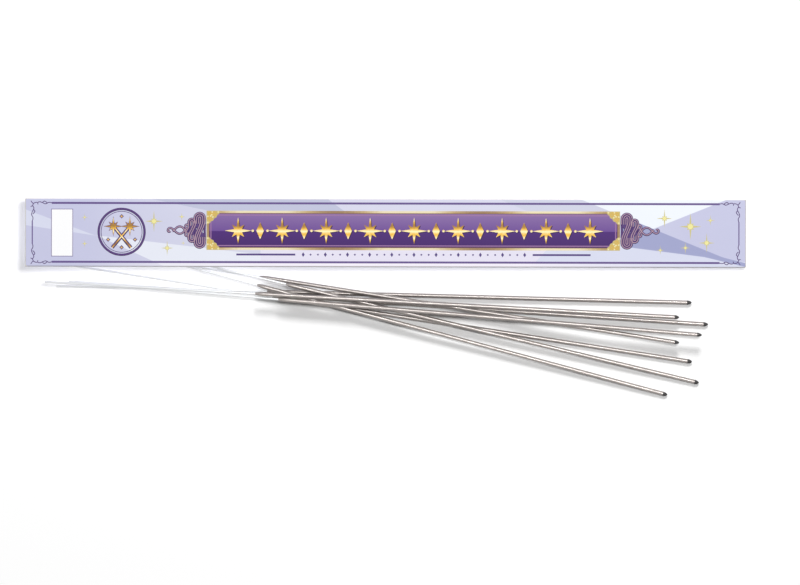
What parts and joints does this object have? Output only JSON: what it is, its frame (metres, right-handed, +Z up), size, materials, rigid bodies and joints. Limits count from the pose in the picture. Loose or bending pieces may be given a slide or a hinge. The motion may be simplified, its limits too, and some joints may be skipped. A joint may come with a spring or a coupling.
{
  "type": "sparkler set with carton",
  "caption": "Long hand sparklers with bare wire handles and dark starter tips, fanned out under one end of their flat printed paperboard carton with tuck flaps.",
  "frame": {"origin": "middle of the set's footprint, on the table that it lies on", "axes": "+X along the carton towards its right end and the sparklers' tips, +Y from the sparklers towards the carton, +Z up"},
  "size_m": [0.5762, 0.1572, 0.0299],
  "materials": {
    "printed_board": "satin",
    "plain_board": "matte",
    "bright_wire": "polished",
    "grey_coating": "satin",
    "dark_tip": "matte"
  },
  "bodies": {
    "sparkler_6": {"sparkler_6_wire": "bright_wire", "sparkler_6_coating": "grey_coating", "sparkler_6_tip": "dark_tip"},
    "sparkler_1": {"sparkler_1_wire": "bright_wire", "sparkler_1_coating": "grey_coating", "sparkler_1_tip": "dark_tip"},
    "sparkler_3": {"sparkler_3_wire": "bright_wire", "sparkler_3_coating": "grey_coating", "sparkler_3_tip": "dark_tip"},
    "sparkler_5": {"sparkler_5_wire": "bright_wire", "sparkler_5_coating": "grey_coating", "sparkler_5_tip": "dark_tip"},
    "sparkler_8": {"sparkler_8_wire": "bright_wire", "sparkler_8_coating": "grey_coating", "sparkler_8_tip": "dark_tip"},
    "sparkler_7": {"sparkler_7_wire": "bright_wire", "sparkler_7_coating": "grey_coating", "sparkler_7_tip": "dark_tip"},
    "sparkler_4": {"sparkler_4_wire": "bright_wire", "sparkler_4_coating": "grey_coating", "sparkler_4_tip": "dark_tip"},
    "sparkler_2": {"sparkler_2_wire": "bright_wire", "sparkler_2_coating": "grey_coating", "sparkler_2_tip": "dark_tip"},
    "carton": {"carton_sleeve": "printed_board"},
    "left_closure": {"left_tuck_flap": "printed_board"},
    "left_near_dust": {"left_near_dust_flap": "plain_board"},
    "left_far_dust": {"left_far_dust_flap": "plain_board"},
    "right_closure": {"right_tuck_flap": "printed_board"},
    "right_near_dust": {"right_near_dust_flap": "plain_board"},
    "right_far_dust": {"right_far_dust_flap": "plain_board"}
  },
  "joints": [
    {"name": "sparkler_1_lift", "type": "slide", "parent": "sparkler_6", "child": "sparkler_1", "axis": [0, 0, 1], "range_m": [0, 0.06]},
    {"name": "sparkler_3_lift", "type": "slide", "parent": "sparkler_1", "child": "sparkler_3", "axis": [0, 0, 1], "range_m": [0, 0.06]},
    {"name": "sparkler_5_lift", "type": "slide", "parent": "sparkler_3", "child": "sparkler_5", "axis": [0, 0, 1], "range_m": [0, 0.06]},
    {"name": "sparkler_8_lift", "type": "slide", "parent": "sparkler_5", "child": "sparkler_8", "axis": [0, 0, 1], "range_m": [0, 0.06]},
    {"name": "sparkler_7_lift", "type": "slide", "parent": "sparkler_8", "child": "sparkler_7", "axis": [0, 0, 1], "range_m": [0, 0.06]},
    {"name": "sparkler_4_lift", "type": "slide", "parent": "sparkler_7", "child": "sparkler_4", "axis": [0, 0, 1], "range_m": [0, 0.06]},
    {"name": "sparkler_2_lift", "type": "slide", "parent": "sparkler_4", "child": "sparkler_2", "axis": [0, 0, 1], "range_m": [0, 0.06]},
    {"name": "carton_lift", "type": "slide", "parent": "sparkler_7", "child": "carton", "axis": [0, 0, 1], "range_m": [0, 0.06]},
    {"name": "right_tuck_flap_fold", "type": "hinge", "parent": "carton", "child": "right_closure", "pos_m": [0.28786, 0.05135, 0.0141], "axis": [0.0003, -0.9999, 0.0118], "range_deg": [0, 170]},
    {"name": "right_near_dust_flap_fold", "type": "hinge", "parent": "carton", "child": "right_near_dust", "pos_m": [0.28711, 0.02426, 0.00855], "axis": [-0.0265, -0.0118, -0.9996], "range_deg": [0, 42.5]},
    {"name": "right_far_dust_flap_fold", "type": "hinge", "parent": "carton", "child": "right_far_dust", "pos_m": [0.28709, 0.0783, 0.00791], "axis": [0.0265, 0.0118, 0.9996], "range_deg": [0, 42.5]},
    {"name": "left_tuck_flap_fold", "type": "hinge", "parent": "carton", "child": "left_closure", "pos_m": [-0.28749, 0.05135, 0.02937], "axis": [-0.0003, 0.9999, -0.0118], "range_deg": [0, 170]},
    {"name": "left_near_dust_flap_fold", "type": "hinge", "parent": "carton", "child": "left_near_dust", "pos_m": [-0.28704, 0.02426, 0.02379], "axis": [0.0265, 0.0118, 0.9996], "range_deg": [0, 42.5]},
    {"name": "left_far_dust_flap_fold", "type": "hinge", "parent": "carton", "child": "left_far_dust", "pos_m": [-0.28706, 0.0783, 0.02315], "axis": [-0.0265, -0.0118, -0.9996], "range_deg": [0, 42.5]}
  ],
  "couplings": [
    {"joint": "right_near_dust_flap_fold", "follows": "right_tuck_flap_fold", "ratio": 0.25},
    {"joint": "right_far_dust_flap_fold", "follows": "right_tuck_flap_fold", "ratio": 0.25},
    {"joint": "left_near_dust_flap_fold", "follows": "left_tuck_flap_fold", "ratio": 0.25},
    {"joint": "left_far_dust_flap_fold", "follows": "left_tuck_flap_fold", "ratio": 0.25}
  ]
}
